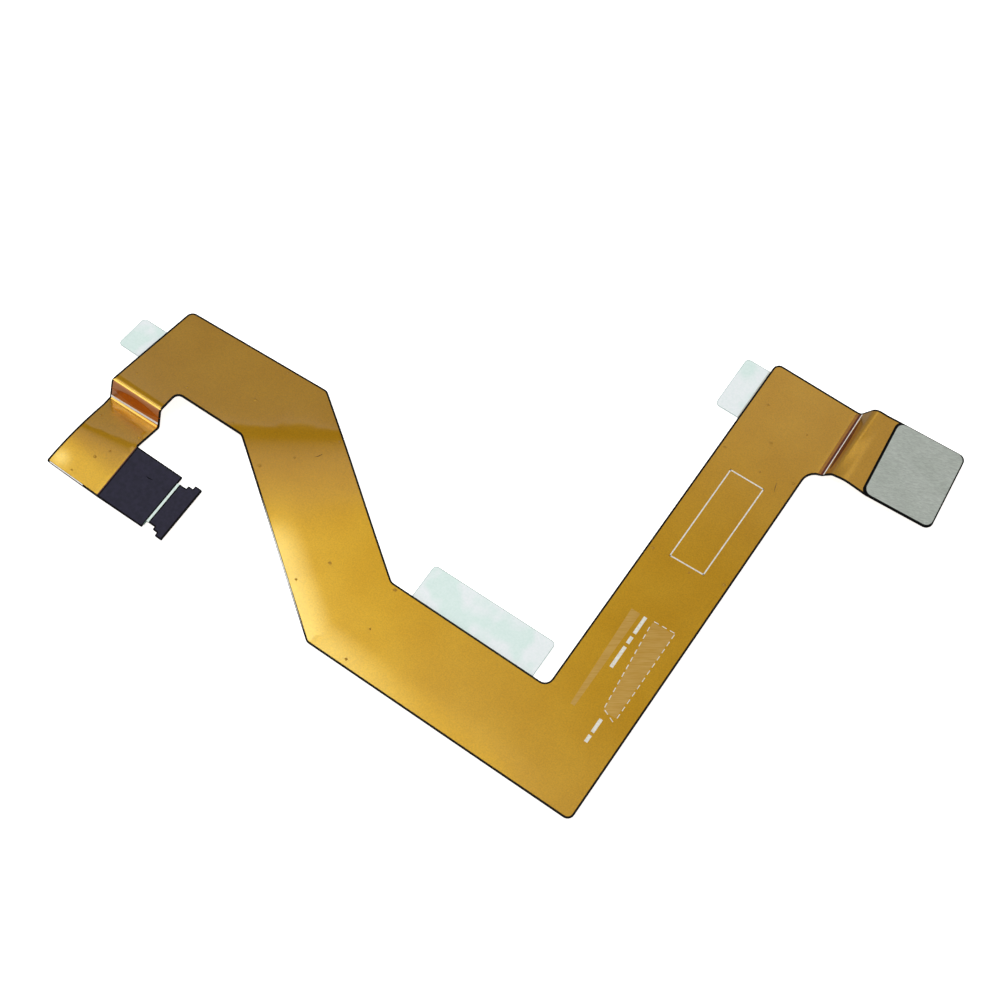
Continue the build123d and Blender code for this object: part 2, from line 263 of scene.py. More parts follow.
def sideProfile(points, radii, steps=40):
    # a line with arcs, as (along, height) samples
    out = [points[0]]
    for i in range(1, len(points) - 1):
        p, c, n = (Vector(points[k]) for k in (i - 1, i, i + 1))
        a, b = (c - p).normalized(), (n - c).normalized()
        half = a.angle(b) / 2
        side = 1 if a.x * b.y - a.y * b.x > 0 else -1
        back = radii[i - 1] * tan(half)
        centre = c - a * back + Vector((-a.y, a.x)) * radii[i - 1] * side
        spoke = c - a * back - centre
        for k in range(steps + 1):
            q = centre + Matrix.Rotation(side * 2 * half * k / steps, 2) @ spoke
            out.append((q.x, q.y))
    out.append(points[-1])
    return out


def offsetLine(points, radii, thick):
    # the upper face of a bent strip from its underside line
    pts = [Vector(p) for p in points]
    ways = [(pts[i + 1] - pts[i]).normalized() for i in range(len(pts) - 1)]
    ups = [Vector((-w.y, w.x)) for w in ways]
    out = [pts[0] + ups[0] * thick]
    for i in range(1, len(pts) - 1):
        out.append(pts[i] + (ups[i - 1] + ups[i]) * (thick / (1 + ups[i - 1].dot(ups[i]))))
    out.append(pts[-1] + ups[-1] * thick)
    turns = [ways[i].x * ways[i + 1].y - ways[i].y * ways[i + 1].x for i in range(len(ways) - 1)]
    topRadii = [r - thick if t > 0 else r + thick for r, t in zip(radii, turns)]
    return sideProfile([tuple(p) for p in out], topRadii)


def lookUp(samples, u):
    if u <= samples[0][0]:
        return samples[0][1]
    low, high = 0, len(samples) - 1
    while high - low > 1:
        mid = (low + high) // 2
        if samples[mid][0] <= u:
            low = mid
        else:
            high = mid
    a, b = samples[low], samples[high]
    return a[1] + (b[1] - a[1]) * (u - a[0]) / (b[0] - a[0])


def headUnder(y):
    return tailLevel + (lowEdge - y) * headSlope


stepRound = plan["stepRound"]
tailStart = footY - 3 * stepRound
joinY = ridgeY + 2 * stepRound
flatEnd = plan["farFold"] - plan["foldRound"]
lead = {"tail": 4, "head": 6, "climb": 3}  # straight run before and after the bends
foldLine = [(tailStart - lead["tail"], tailLevel), (footY, tailLevel), (ridgeY, tailLevel + plan["step"]),
            (ridgeY + lead["head"], headUnder(ridgeY + lead["head"]))]
foldTop = offsetLine(foldLine, [plan["footRound"] + sheet, stepRound], sheet * cos(atan(headSlope)))
landingEnd = plateMiddle[0] + plan["plateWidth"]


def climbEdge(fold, knee):
    # upper face of the right step along one edge of the strip
    low = topLevel - (landingEnd - plan["crest"]) * tan(radians(plan["droop"]))
    points = [(flatEnd - lead["climb"], level), (fold, level), (knee[0], level + knee[1]),
              (plan["crest"], topLevel), (landingEnd, low)]
    return offsetLine(points, [plan["foldRound"], plan["kneeRound"], plan["crestRound"]], sheet)


climbNear, climbFar = climbEdge(plan["nearFold"], nearKnee), climbEdge(plan["farFold"], farKnee)


def climbHeight(x, y):
    # between the two edge profiles, ruled across the strip
    share = (y - stripNear) / plan["stripWidth"]

    def place(i, k):
        return climbNear[i][k] + (climbFar[i][k] - climbNear[i][k]) * share

    low, high = 0, len(climbNear) - 1
    while high - low > 1:
        mid = (low + high) // 2
        if place(mid, 0) <= x:
            low = mid
        else:
            high = mid
    rise, run = place(high, 1) - place(low, 1), place(high, 0) - place(low, 0)
    return place(low, 1) + rise * (x - place(low, 0)) / run


zone = {"flatBack": 5, "tipPast": 1, "stepRight": -80}  # limits of the regions that no bend gives
flatFrom = farBend[0] + zone["flatBack"]
bowX, bowFoot = footLeft[0] - plan["reach"], tailNear - plan["reach"]
crestFar = polar(farHead, -slant, plan["crestReach"])
crestAngle = atan((crestFar[1] - nearHead[1]) / (crestFar[0] - nearHead[0])) * 180 / pi
crestLow = Vector(polar(nearHead, crestAngle + 180, plan["reach"]))
crestHigh = Vector(polar(crestFar, crestAngle, plan["reach"]))
fallLow = Vector(polar(polar(nearHead, -slant, plan["fallLength"]), -slant - 90, plan["reach"]))
fallHigh = Vector(polar(fallLow, 90 - slant, plan["slantWidth"] + 2 * plan["reach"]))


def bowHeight(y):
    # arc through the tail's foot, its top and its last corner
    half = (tailStart - bowFoot) / 2
    u = (y - bowFoot) / (2 * half)
    chord = plan["bowEnd"] * (1 - u)
    sag = plan["bow"] - plan["bowEnd"] / 2
    radius = (half * half + sag * sag) / (2 * sag)
    return chord + sqrt(max(radius * radius - (half * (2 * u - 1)) ** 2, 0)) - (radius - sag)


def edgeDrop(top, foot, s):
    run = foot - top
    z0, z1, m0 = headUnder(top.y), level, -headSlope * run.y
    return z0 * (2 * s**3 - 3 * s**2 + 1) + m0 * (s**3 - 2 * s**2 + s) + z1 * (3 * s**2 - 2 * s**3)


def fallShare(x, y):
    s, r, p = 0.5, 0.5, Vector((x, y))
    for i in range(6):
        low, high = crestLow.lerp(fallLow, s), crestHigh.lerp(fallHigh, s)
        miss = low.lerp(high, r) - p
        ds = (fallLow - crestLow).lerp(fallHigh - crestHigh, r)
        dr = high - low
        det = ds.x * dr.y - ds.y * dr.x
        s -= (miss.x * dr.y - miss.y * dr.x) / det
        r -= (ds.x * miss.y - ds.y * miss.x) / det
    return s, r


def fallHeight(x, y):
    s, r = fallShare(x, y)
    return sheet + edgeDrop(crestLow, fallLow, s) * (1 - r) + edgeDrop(crestHigh, fallHigh, s) * r


def leftOf(p, a, b):
    return (b[0] - a[0]) * (p[1] - a[1]) - (b[1] - a[1]) * (p[0] - a[0]) > 0


regions = {
    "climb": climbHeight,
    "film": lambda x, y: tailLevel + sheet,
    "tail": lambda x, y: tailLevel + sheet + bowHeight(y) * (filmStart - x) / (filmStart - bowX),
    "fold": lambda x, y: lookUp(foldTop, y),
    "head": lambda x, y: sheet + headUnder(y),
    "fall": fallHeight,
    "flat": lambda x, y: level + sheet,
}


def regionAt(x, y):
    if x > flatEnd:
        return "climb"
    if x < tipEnd + zone["tipPast"] and y < tailStart:
        return "film" if x > filmStart else "tail"
    if x < zone["stepRight"] and y < joinY:
        return "fold"
    if x > flatFrom:
        return "flat"
    if leftOf((x, y), crestLow, crestHigh):
        return "head"
    return "fall" if leftOf((x, y), fallLow, fallHigh) else "flat"


curlLook = {"width": 4.6, "drop": 0.13, "blend": 0.7, "from": (-66, -56), "to": (-17, -4), "far": 40}
slantAway = Vector((sin(radians(slant)), cos(radians(slant))))


def smooth(a, b, v):
    u = min(max((v - a) / (b - a), 0), 1)
    return u * u * (3 - 2 * u)


def curlDepth(x, y):
    # the outer edge of the two middle arms dips a little
    one = (Vector((x, y)) - Vector(nearBend)).dot(slantAway)
    two = y + x * tan(radians(plan["crossLean"]))
    k = curlLook["blend"]
    near = -log(sum(exp(-k * min(d, curlLook["far"])) for d in (one, two))) / k
    near += log(2) / k * exp(-abs(one - two))
    share = max(0, 1 - near / curlLook["width"])
    fade = smooth(*curlLook["from"], x) * (1 - smooth(*curlLook["to"], x))
    return curlLook["drop"] * share * share * fade


def heightOf(kind, x, y):
    return regions[kind](x, y) - (curlDepth(x, y) if kind in ("flat", "fall") else 0)


def heightAt(x, y):
    return heightOf(regionAt(x, y), x, y)


def slopeOf(f, x, y, e=0.012):
    return Vector(((f(x - e, y) - f(x + e, y)) / (2 * e), (f(x, y - e) - f(x, y + e)) / (2 * e), 1))


def slopeNormal(kind, x, y):
    return slopeOf(lambda a, b: heightOf(kind, a, b), x, y).normalized()


softLook = {  # how the film's own softness turns its shine
    "footLine": 0.25, "climbReach": 0.3, "climbShare": 0.3, "ridgeShare": 0.45, "ridgeReach": (0.0, 0.7),
    "fade": (0.86, 1.3), "fadeTop": 0.93, "fadeSoft": 0.125, "fadeFoot": 0.3,
    "tailTilt": (0.232, 0.240), "tailEdge": (2.4, 4.4), "tailReach": (7.0, 3.5), "tailSide": 0.25,
    "tailGrow": 0.004, "tailPower": 1.2, "tailRise": 0.024,
    "glow": (-92.5, 2.9), "glowReach": 1.0, "glowDip": 0.05}


def fallFade(s):
    # share of the head's tilt that its shine still shows down the slope
    u = softLook["fade"][0] - softLook["fade"][1] * s
    top, soft, foot = softLook["fadeTop"], softLook["fadeSoft"], softLook["fadeFoot"]
    if u > top:
        return top + soft * (1 - exp((top - u) / soft))
    return u if u > foot else max(0.0, u + foot) ** 2 / (4 * foot)


def lookNormal(kind, x, y):
    # shading normal, a little softer than the bent slabs
    real = slopeOf(lambda a, b: heightOf(kind, a, b), x, y)
    if kind == "climb":
        reach = softLook["climbReach"]
        fall = (climbHeight(x - reach, y) - climbHeight(x + reach, y)) / (2 * reach)
        real = Vector((fall, real.y * softLook["climbShare"], 1))
    if kind in ("fall", "head"):
        s = fallShare(x, y)[0]
        if kind == "fall":
            real = slopeOf(lambda a, b: -curlDepth(a, b), x, y)
        real.y = (real.y if kind == "fall" else 0) + headSlope * fallFade(s)
    if kind == "fold":
        real.y = min(real.y, headSlope)
    if kind in ("fold", "head") and real.y > 0:
        share = softLook["ridgeShare"]
        real.y *= share + (1 - share) * smooth(*softLook["ridgeReach"], y - ridgeY)
    if kind == "tail" or kind == "fold" and y < footY - softLook["footLine"]:
        side = (filmStart - x) / (filmStart - footLeft[0])
        ends = [softLook[k] for k in ("tailTilt", "tailEdge", "tailReach")]
        tilt, edge, reach = (first + (last - first) * side for first, last in ends)
        down = tailStart - y
        past = max(0.0, min(1.0, (down - edge) / reach))
        real.y = (tilt + softLook["tailGrow"] * max(0.0, edge - down)) * (1 - past) ** softLook["tailPower"]
        dip = (Vector((x, y)) - Vector(softLook["glow"])).length / softLook["glowReach"]
        real.y += softLook["tailRise"] * past - softLook["glowDip"] * exp(-dip * dip / 2)
        real.x *= softLook["tailSide"]
    return real.normalized()


# materials

mixOne, mixTwo, mixOut = 6, 7, 2  # colour sockets of a Mix node
multiplyMix = {"data_type": "RGBA", "blend_type": "MULTIPLY", "Factor": 1.0}


def patternPlace(tree, stretch):
    # object coordinates, drawn out and turned where stretch says so
    source = addNode(tree, "ShaderNodeTexCoord").outputs["Object"]
    if not stretch:
        return source
    settings = {"vector_type": "TEXTURE", "Scale": stretch[:3], "Rotation": (0, 0, radians(stretch[3]))}
    return addNode(tree, "ShaderNodeMapping", settings, {"Vector": source}).outputs["Vector"]


def noiseMix(tree, size, colors, detail=2.0, band=(0.35, 0.65), stretch=None, distortion=0.0):
    # cloudy mix of two colours, size in mm on the object
    settings = {"Scale": 1 / (size * mm), "Detail": detail, "Distortion": distortion}
    cloud = addNode(tree, "ShaderNodeTexNoise", settings, {"Vector": patternPlace(tree, stretch)})
    ramp = addNode(tree, "ShaderNodeValToRGB", None, {"Fac": cloud.outputs["Fac"]})
    for point, place, color in zip(ramp.color_ramp.elements, band, colors):
        point.position, point.color = place, linear(color)
    return ramp.outputs["Color"]


def grainBump(tree, shader, size, depth, stretch=None, detail=2.0):
    # fine relief, size and depth in mm
    settings = {"Scale": 1 / (size * mm), "Detail": detail}
    grain = addNode(tree, "ShaderNodeTexNoise", settings, {"Vector": patternPlace(tree, stretch)})
    settings = {"Strength": 1.0, "Distance": depth * mm}
    bump = addNode(tree, "ShaderNodeBump", settings, {"Height": grain.outputs["Fac"]})
    tree.links.new(bump.outputs["Normal"], shader.inputs["Normal"])


def edgeTint(tree, face, side):
    # one colour on the faces that look up, another on the cut edges
    facing = addNode(tree, "ShaderNodeNewGeometry").outputs["True Normal"]
    lie = addNode(tree, "ShaderNodeSeparateXYZ", None, {"Vector": facing})
    limits = {"From Min": 0.35, "From Max": 0.6, "To Min": 0.0, "To Max": 1.0}
    flatShare = addNode(tree, "ShaderNodeMapRange", limits, {"Value": lie.outputs["Z"]})
    return addNode(tree, "ShaderNodeMix", {"data_type": "RGBA", mixOne: linear(side)},
                   {"Factor": flatShare.outputs["Result"], mixTwo: face}).outputs[mixOut]


def cloudMaterial(name, size, colors, settings, grain=None, **pattern):
    # material with a mottled colour and, where grain is given, a fine relief
    material, tree, shader = newMaterial(name, settings)
    tree.links.new(noiseMix(tree, size, colors, **pattern), shader.inputs["Base Color"])
    if grain:
        grainBump(tree, shader, *grain)
    return material


amberLook = {"broad": ("#D09716", "#D79F20"), "fine": ("#E8E8E8", "#FFFFFF"), "grainMm": 0.22, "cloudMm": 9.0,
             "riser": ("#E09058", "#EA9C62")}
amberFilm, tree, shader = newMaterial("polyimideOverCopper", {  # film over rolled copper: gold, clear gloss
    "Metallic": 0.9, "Roughness": 0.3, "Coat Weight": 1.0, "Coat Roughness": 0.03, "Coat IOR": 1.5})
broad = noiseMix(tree, amberLook["cloudMm"], amberLook["broad"], 3.0)
fine = noiseMix(tree, amberLook["grainMm"], amberLook["fine"], 3.0, (0.3, 0.7))
gold = addNode(tree, "ShaderNodeMix", multiplyMix, {mixOne: broad, mixTwo: fine})
tree.links.new(gold.outputs[mixOut], shader.inputs["Base Color"])

riserReflectionPaint = cloudMaterial("riserPaintedReflection", amberLook["grainMm"], amberLook["riser"], {  # painted reflection: the steep riser made redder, mauve-brown
    "Metallic": 0.9, "Roughness": 0.3, "Coat Weight": 1.0, "Coat Roughness": 0.05, "Coat IOR": 1.5},
    detail=3.0, band=(0.3, 0.7))
edgeFilm = cloudMaterial("bareFilmEdge", 0.3, ("#080604", "#0F0C08"), {  # margin without copper: nearly black
    "Roughness": 0.5, "Specular IOR Level": 0.15})
blackFilm = cloudMaterial("blackCoverFilm", 0.7, ("#1E1A2E", "#262138"), {  # matt film: soft violet sheen
    "Roughness": 0.45, "Specular IOR Level": 0.25}, grain=(0.25, 0.004), detail=3.0)
tipFilm = cloudMaterial("blackTipLaminate", 0.5, ("#201B2F", "#272238"), {  # inked board: warmer black
    "Roughness": 0.45, "Specular IOR Level": 0.25}, grain=(0.3, 0.006), detail=3.0)
rimFilm = cloudMaterial("blackFilmEdge", 0.3, ("#050408", "#09080C"), {  # cut edge of the black film: no sheen
    "Roughness": 0.6, "Specular IOR Level": 0.1})
redMargin = cloudMaterial("adhesiveSqueezeOut", 0.3, ("#4C1C0C", "#682C16"), {  # brown line of glue
    "Roughness": 0.35})
whiteInk = cloudMaterial("whiteScreenInk", 0.25, ("#DDD7C8", "#F0ECE2"), {  # matt screen print, a little uneven
    "Roughness": 0.6, "Specular IOR Level": 0.3})
paleInk = cloudMaterial("paleLineInk", 0.3, ("#DCF2EA", "#F4FFFA"), {  # pale green-white line by the tip
    "Roughness": 0.5})
dimInk = cloudMaterial("thinLineInk", 0.25, ("#566C64", "#687F76"), {  # the pale line where it is thin
    "Roughness": 0.5})
foldWhiteAndGlintPaint = cloudMaterial("whitenedFoldAndPaintedGlint", 0.3, ("#ECE6E0", "#FBF7F2"), {  # film whitened by a hard crease, with a faint painted glow; it also paints the glints along two edges
    "Roughness": 0.4, "Emission Color": linear("#F4EFEA"), "Emission Strength": 0.12})
foldShine = cloudMaterial("paintedFoldHighlight", 0.5, ("#F6C858", "#FFDC80"), {  # painted highlight: a bright gold, glowing line along each fold
    "Metallic": 0.6, "Roughness": 0.25, "Coat Weight": 1.0,
    "Emission Color": linear("#FFC850"), "Emission Strength": 0.7})
foldShadePaint = cloudMaterial("shadedFold", 0.3, ("#641E04", "#702808"), {  # painted shade in the fold: deep red-brown
    "Metallic": 0.5, "Roughness": 0.35, "Coat Weight": 0.6, "Coat Roughness": 0.1})
foldHalfShadePaint = cloudMaterial("paintedFoldHalfShade", 0.4, ("#A0661C", "#AA7020"), {  # painted shade fading out beside a fold
    "Metallic": 0.8, "Roughness": 0.35, "Coat Weight": 0.6, "Coat Roughness": 0.1})
foldReflectionPaint = cloudMaterial("paintedFoldReflection", 0.4, ("#D06C0A", "#DC7810"), {  # painted reflection on the riser: glows orange
    "Metallic": 0.8, "Roughness": 0.3, "Coat Weight": 0.6, "Coat Roughness": 0.08})
hazyInk = cloudMaterial("wornInkHaze", 0.3, ("#C4923C", "#D2A456"), {  # rubbed-off print: a dull, streaked haze
    "Metallic": 0.9, "Roughness": 0.35, "Coat Weight": 1.0, "Coat Roughness": 0.1},
    band=(0.3, 0.7), stretch=(8.0, 0.6, 1.0, 34))
hairLine = cloudMaterial("scratchedFilm", 0.2, ("#523408", "#644212"), {  # hair scratch: dull and darker
    "Metallic": 0.3, "Roughness": 0.5})
filmCrease = cloudMaterial("creasedBlackFilm", 0.2, ("#05050A", "#0B0B12"), {  # short crease in the black film
    "Roughness": 0.6, "Specular IOR Level": 0.1})

# the grit marks are drawn coarse enough to show
steelLook = {"broad": ("#CED4CC", "#D7DCD5"), "cloudMm": 4.0, "swirl": ("#E6E6E6", "#FFFFFF"), "swirlMm": 0.26,
             "stretch": (3.2, 0.8, 1.0, 20), "twist": 1.2, "depth": 0.003}
steelSheet, tree, shader = newMaterial("brushedStainless", {  # orbital-brushed: pale green-grey, fine swirls
    "Metallic": 0.8, "Roughness": 0.45})
broad = noiseMix(tree, steelLook["cloudMm"], steelLook["broad"], 3.0)
swirl = noiseMix(tree, steelLook["swirlMm"], steelLook["swirl"], 3.0, (0.35, 0.65),
                 steelLook["stretch"], steelLook["twist"])
steel = addNode(tree, "ShaderNodeMix", multiplyMix, {mixOne: broad, mixTwo: swirl})
tree.links.new(steel.outputs[mixOut], shader.inputs["Base Color"])
grainBump(tree, shader, steelLook["swirlMm"], steelLook["depth"], steelLook["stretch"], 3.0)
plateDarkRim = cloudMaterial("plateDarkRimEdge", 0.4, ("#1C1E1D", "#2A2D2B"), {  # near-black rim round the plate's face and on its cut sides
    "Metallic": 0.8, "Roughness": 0.5})
bondFilm = cloudMaterial("blackBondFilm", 0.3, ("#050406", "#0B0A0C"), {  # heat-set bond: dead black
    "Roughness": 0.6, "Specular IOR Level": 0.1})

linerLook = {"face": ("#E8F8F5", "#F8FCFF"), "haze": ("#F0F6F4", "#FFFFFF"), "side": "#93A09C",
             "cloudMm": 6.5, "hazeMm": 0.35, "hazeShare": 0.5}
linerFilm, tree, shader = newMaterial("releaseLiner", {  # coated polyester: milky, faintly green
    "Roughness": 0.3, "Coat Weight": 0.3, "Coat Roughness": 0.1})
broad = noiseMix(tree, linerLook["cloudMm"], linerLook["face"], 2.0, (0.45, 0.55))
haze = noiseMix(tree, linerLook["hazeMm"], linerLook["haze"], 3.0)
settings = {**multiplyMix, "Factor": linerLook["hazeShare"]}
milk = addNode(tree, "ShaderNodeMix", settings, {mixOne: broad, mixTwo: haze})
tree.links.new(edgeTint(tree, milk.outputs[mixOut], linerLook["side"]), shader.inputs["Base Color"])
padTape = cloudMaterial("adhesiveTape", 0.8, ("#CFCFC6", "#DEDED8"), {  # milky acrylic adhesive
    "Roughness": 0.5})
linerRim = cloudMaterial("releaseLinerEdge", 0.6, ("#AEBCBA", "#BCCAC8"), {  # its cut edge: greyer
    "Roughness": 0.4})
resin = cloudMaterial("blackMouldedResin", 0.3, ("#131317", "#1B1B20"), {  # glass-filled nylon: soft black
    "Roughness": 0.45})
goldPlate = cloudMaterial("flashGoldPlate", 0.4, ("#DCAA58", "#E6B868"), {  # thin gold: pale warm metal
    "Metallic": 1.0, "Roughness": 0.25})
tinPlate = cloudMaterial("dullTinPlate", 0.3, ("#BFC0BC", "#CECFCB"), {  # matt tin: cool grey
    "Metallic": 1.0, "Roughness": 0.38})

for name, material in {
        "tail_film": blackFilm, "tip_board": tipFilm, "insertion_line": paleInk, "contact_fingers": goldPlate,
        "stiffener_plate": steelSheet, "plate_bond": bondFilm, "connector_shell": resin,
        "connector_pins": goldPlate, "connector_nails": tinPlate}.items():
    dress(name, material)
for place in ("head", "cross", "arm"):
    dress(place + "_tape", padTape)
    dress(place + "_liner", linerFilm)
print("materials ready")


# the bent sheet, drawn fine over its plan

flexLook = {"margin": 0.29, "riser": (0.1, 0.03), "riserPast": 1}
rowLook = {  # how far apart the rows of faces lie, in mm, or how many there are
    "arcTurn": 7.0, "fallRows": 26, "bowRows": 18, "tailColumns": 8, "crestBack": (4, 2), "climbGap": 1.5,
    "climbRows": 9, "climbPast": 2, "ridgeGap": 0.6, "ridgeRows": 13, "headSpan": (-92, -60), "headGap": 2,
    "curlRows": 9, "curlPast": 0.6, "curlSpan": (-66, -1), "curlGap": 3}
cutZone = {  # plan limits of the rows
    "headLow": 12, "stepReach": 12, "filmRight": -72, "ridgeRight": -68, "slantRight": -38, "crossLeft": -60,
    "curlLeft": -69, "curlRight": -2, "firstLeft": -72}


def onRiser(x, y):
    # steep part of the left step
    foot, top = flexLook["riser"]
    return x < tailRight + flexLook["riserPast"] and footY + foot < y < ridgeY - top


def arcRows(samples, gap):
    # plan positions where a side profile turns by a few degrees
    rows, last = [], None
    for a, b in zip(samples, samples[1:]):
        angle = atan((b[1] - a[1]) / max(b[0] - a[0], 1e-9)) * 180 / pi
        if last is None or abs(angle - last) >= gap:
            rows.append(a[0])
            last = angle
    return rows


def cutRows(bm, inside, planes):
    for origin, normal in planes:
        faces = [f for f in bm.faces if inside(f.calc_center_median())]
        geom = set(faces)
        for f in faces:
            geom.update(f.edges)
            geom.update(f.verts)
        bmesh.ops.bisect_plane(bm, geom=list(geom), dist=1e-5, plane_co=(*origin, 0), plane_no=(*normal, 0))


def levelRows(heights):
    return [((0, y), (0, 1)) for y in heights]


def uprightRows(places):
    return [((x, 0), (1, 0)) for x in places]


def within(*kinds):
    return lambda c: regionAt(c.x, c.y) in kinds


bm = bmesh.new()
outer, inner = roundedLoop(outline), roundedLoop(outline, flexLook["margin"])
rimmedFace(bm, *([bm.verts.new((p.x, p.y, 0)) for p in ring] for ring in (outer, inner)))
crestWay, fallWay = (crestHigh - crestLow).normalized(), (fallHigh - fallLow).normalized()
crestSide, fallSide = (-crestWay.y, crestWay.x), (-fallWay.y, fallWay.x)
crestStep = Vector((cos(radians(slant)), -sin(radians(slant))))
cutRows(bm, lambda c: True, uprightRows((flatEnd, flatFrom)))
cutRows(bm, lambda c: c.x < flatFrom and c.y > cutZone["headLow"],
        [(crestLow - crestStep * back, crestSide) for back in rowLook["crestBack"]])
cutRows(bm, lambda c: c.x < flatFrom, [(crestLow, crestSide), (fallLow, fallSide)])
cutRows(bm, lambda c: c.x < crestLow.x + cutZone["stepReach"], levelRows((joinY, tailStart)))
cutRows(bm, lambda c: c.x < cutZone["filmRight"] and c.y < tailStart, uprightRows((filmStart,)))
cutRows(bm, within("fold"), levelRows(arcRows(foldTop, rowLook["arcTurn"])))
climbRows = [((a[0], stripNear), (plan["stripWidth"], a[0] - b[0])) for a, b in zip(climbNear, climbFar)][1:-1]
cutRows(bm, within("climb"), climbRows)
cutRows(bm, lambda c: regionAt(c.x, c.y) == "climb" and c.x < plan["crest"] + rowLook["climbPast"],
        levelRows(stripNear + rowLook["climbGap"] * k for k in range(rowLook["climbRows"])))
cutRows(bm, lambda c: c.x < cutZone["ridgeRight"] and c.y > ridgeY,
        levelRows(ridgeY + rowLook["ridgeGap"] * k for k in range(1, rowLook["ridgeRows"] + 1)))
cutRows(bm, within("head"), uprightRows(range(*rowLook["headSpan"], rowLook["headGap"])))
rows = rowLook["bowRows"]
cutRows(bm, within("tail"), levelRows(tailStart + (tailNear - tailStart) * k / rows for k in range(1, rows)))
cutRows(bm, within("tail"), uprightRows(filmStart - k for k in range(1, rowLook["tailColumns"] + 1)))
rows, planes = rowLook["fallRows"], []
for k in range(1, rows):
    a, b = crestLow.lerp(fallLow, k / rows), crestHigh.lerp(fallHigh, k / rows)
    way = (b - a).normalized()
    planes.append((a, (-way.y, way.x)))
cutRows(bm, within("fall"), planes)
curlReach = curlLook["width"] + rowLook["curlPast"]


def curlEdge(c):
    # the band that the curl reaches
    one = (Vector((c.x, c.y)) - Vector(nearBend)).dot(slantAway)
    return min(one, c.y) < curlReach and cutZone["curlLeft"] < c.x < cutZone["curlRight"]


rows = rowLook["curlRows"]
for k in range(rows, 0, -1):
    d = curlReach * k / rows if k < rows else curlReach
    reached = curlEdge if k < rows else lambda c: c.x > cutZone["firstLeft"]
    middle = lambda c: reached(c) and regionAt(c.x, c.y) in ("fall", "flat")
    cutRows(bm, lambda c: middle(c) and c.x < cutZone["slantRight"],
            [(Vector(nearBend) + slantAway * d, slantAway)])
    cutRows(bm, lambda c: middle(c) and c.x > cutZone["crossLeft"], levelRows((d,)))
cutRows(bm, curlEdge, uprightRows(range(*rowLook["curlSpan"], rowLook["curlGap"])))
kindOf = bm.faces.layers.string.new("kind")
for f in bm.faces:
    c = f.calc_center_median()
    f[kindOf] = regionAt(c.x, c.y).encode()
    # faces on the steep riser take the painted reflection colour
    if f.material_index == 0 and onRiser(c.x, c.y):
        f.material_index = 2
    if f.normal.z < 0:
        f.normal_flip()
faceUp(bm)
vertNormal, vertPlace, vertLook = {}, {}, {}
for v in bm.verts:
    kinds = {f[kindOf].decode() for f in v.link_faces}
    normal = sum((slopeNormal(k, v.co.x, v.co.y) for k in kinds), Vector((0, 0, 0))).normalized()
    vertNormal[v] = normal
    vertLook[v] = sum((lookNormal(k, v.co.x, v.co.y) for k in kinds), Vector((0, 0, 0))).normalized()
    vertPlace[v] = Vector((v.co.x, v.co.y, heightOf(sorted(kinds)[0], v.co.x, v.co.y)))
topFaces = list(bm.faces)
made = bmesh.ops.extrude_face_region(bm, geom=topFaces)["geom"]
lowVerts = [g for g in made if isinstance(g, bmesh.types.BMVert)]
lowFaces = [g for g in made if isinstance(g, bmesh.types.BMFace)]
byPlace = {(round(v.co.x, 5), round(v.co.y, 5)): v for v in vertPlace}
lowSource = {v: byPlace[(round(v.co.x, 5), round(v.co.y, 5))] for v in lowVerts}
for v, source in lowSource.items():
    p = vertPlace[source] - vertNormal[source] * sheet
    v.co = toFrame(*p)
for v, p in vertPlace.items():
    v.co = toFrame(*p)
bmesh.ops.recalc_face_normals(bm, faces=bm.faces)
bm.normal_update()
broadFaces = set(lowFaces) | set(topFaces)
faceNormals = []
bm.faces.index_update()
for f in bm.faces:
    for loop in f.loops:
        if f in broadFaces:
            source = lowSource.get(loop.vert, loop.vert)
            n = vertLook[source]
            faceNormals.append(n if f.normal.dot(n) > 0 else -n)
        else:
            f.material_index = 1
            faceNormals.append(f.normal.copy())
print("sheet faces", len(bm.faces), "verts", len(bm.verts), "closed", all(e.is_manifold for e in bm.edges))
flexSheet = finishPiece(bm, "amberSheet", [amberFilm, edgeFilm, riserReflectionPaint])
for polygon in flexSheet.data.polygons:
    polygon.use_smooth = True
flexSheet.data.normals_split_custom_set(faceNormals)
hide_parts("flex_circuit")
print("sheet done")


# printed marks, scratches, and painted shade, reflections and highlights, laid on the sheet

inkLook = {"lift": 0.012, "line": 0.2, "step": 0.5, "flatStep": 5, "point": 0.05}


def inkStrip(bm, points, width, step=inkLook["step"], lift=inkLook["lift"], taper=False):
    # flat band along a few points that follows the sheet; width may run from one value to another
    points = [Vector(p) for p in points]
    first, last = width if isinstance(width, tuple) else (width, width)
    lengths = [(b - a).length for a, b in zip(points, points[1:])]
    count = max(1, int(sum(lengths) / step))
    rows = []
    for k in range(count + 1):
        along, i = sum(lengths) * k / count, 0
        while i < len(lengths) - 1 and along > lengths[i]:
            along -= lengths[i]
            i += 1
        way = (points[i + 1] - points[i]) / lengths[i]
        share = max(inkLook["point"], sin(pi * k / count)) if taper else 1
        side = Vector((-way.y, way.x)) * ((first + (last - first) * k / count) / 2 * share)
        p = points[i] + way * along
        rows.append([bm.verts.new(toFrame(q.x, q.y, heightAt(q.x, q.y) + lift)) for q in (p + side, p - side)])
    for one, two in zip(rows, rows[1:]):
        bm.faces.new((one[0], one[1], two[1], two[0]))


def inkPiece(name, material, strips):
    bm = bmesh.new()
    for strip in strips:
        inkStrip(bm, **strip)
    faceUp(bm)
    return finishPiece(bm, name, [material])


def sides(corners):
    # each side of a closed outline, as its two ends
    ring = [Vector(p) for p in corners]
    return list(zip(ring, ring[1:] + ring[:1]))


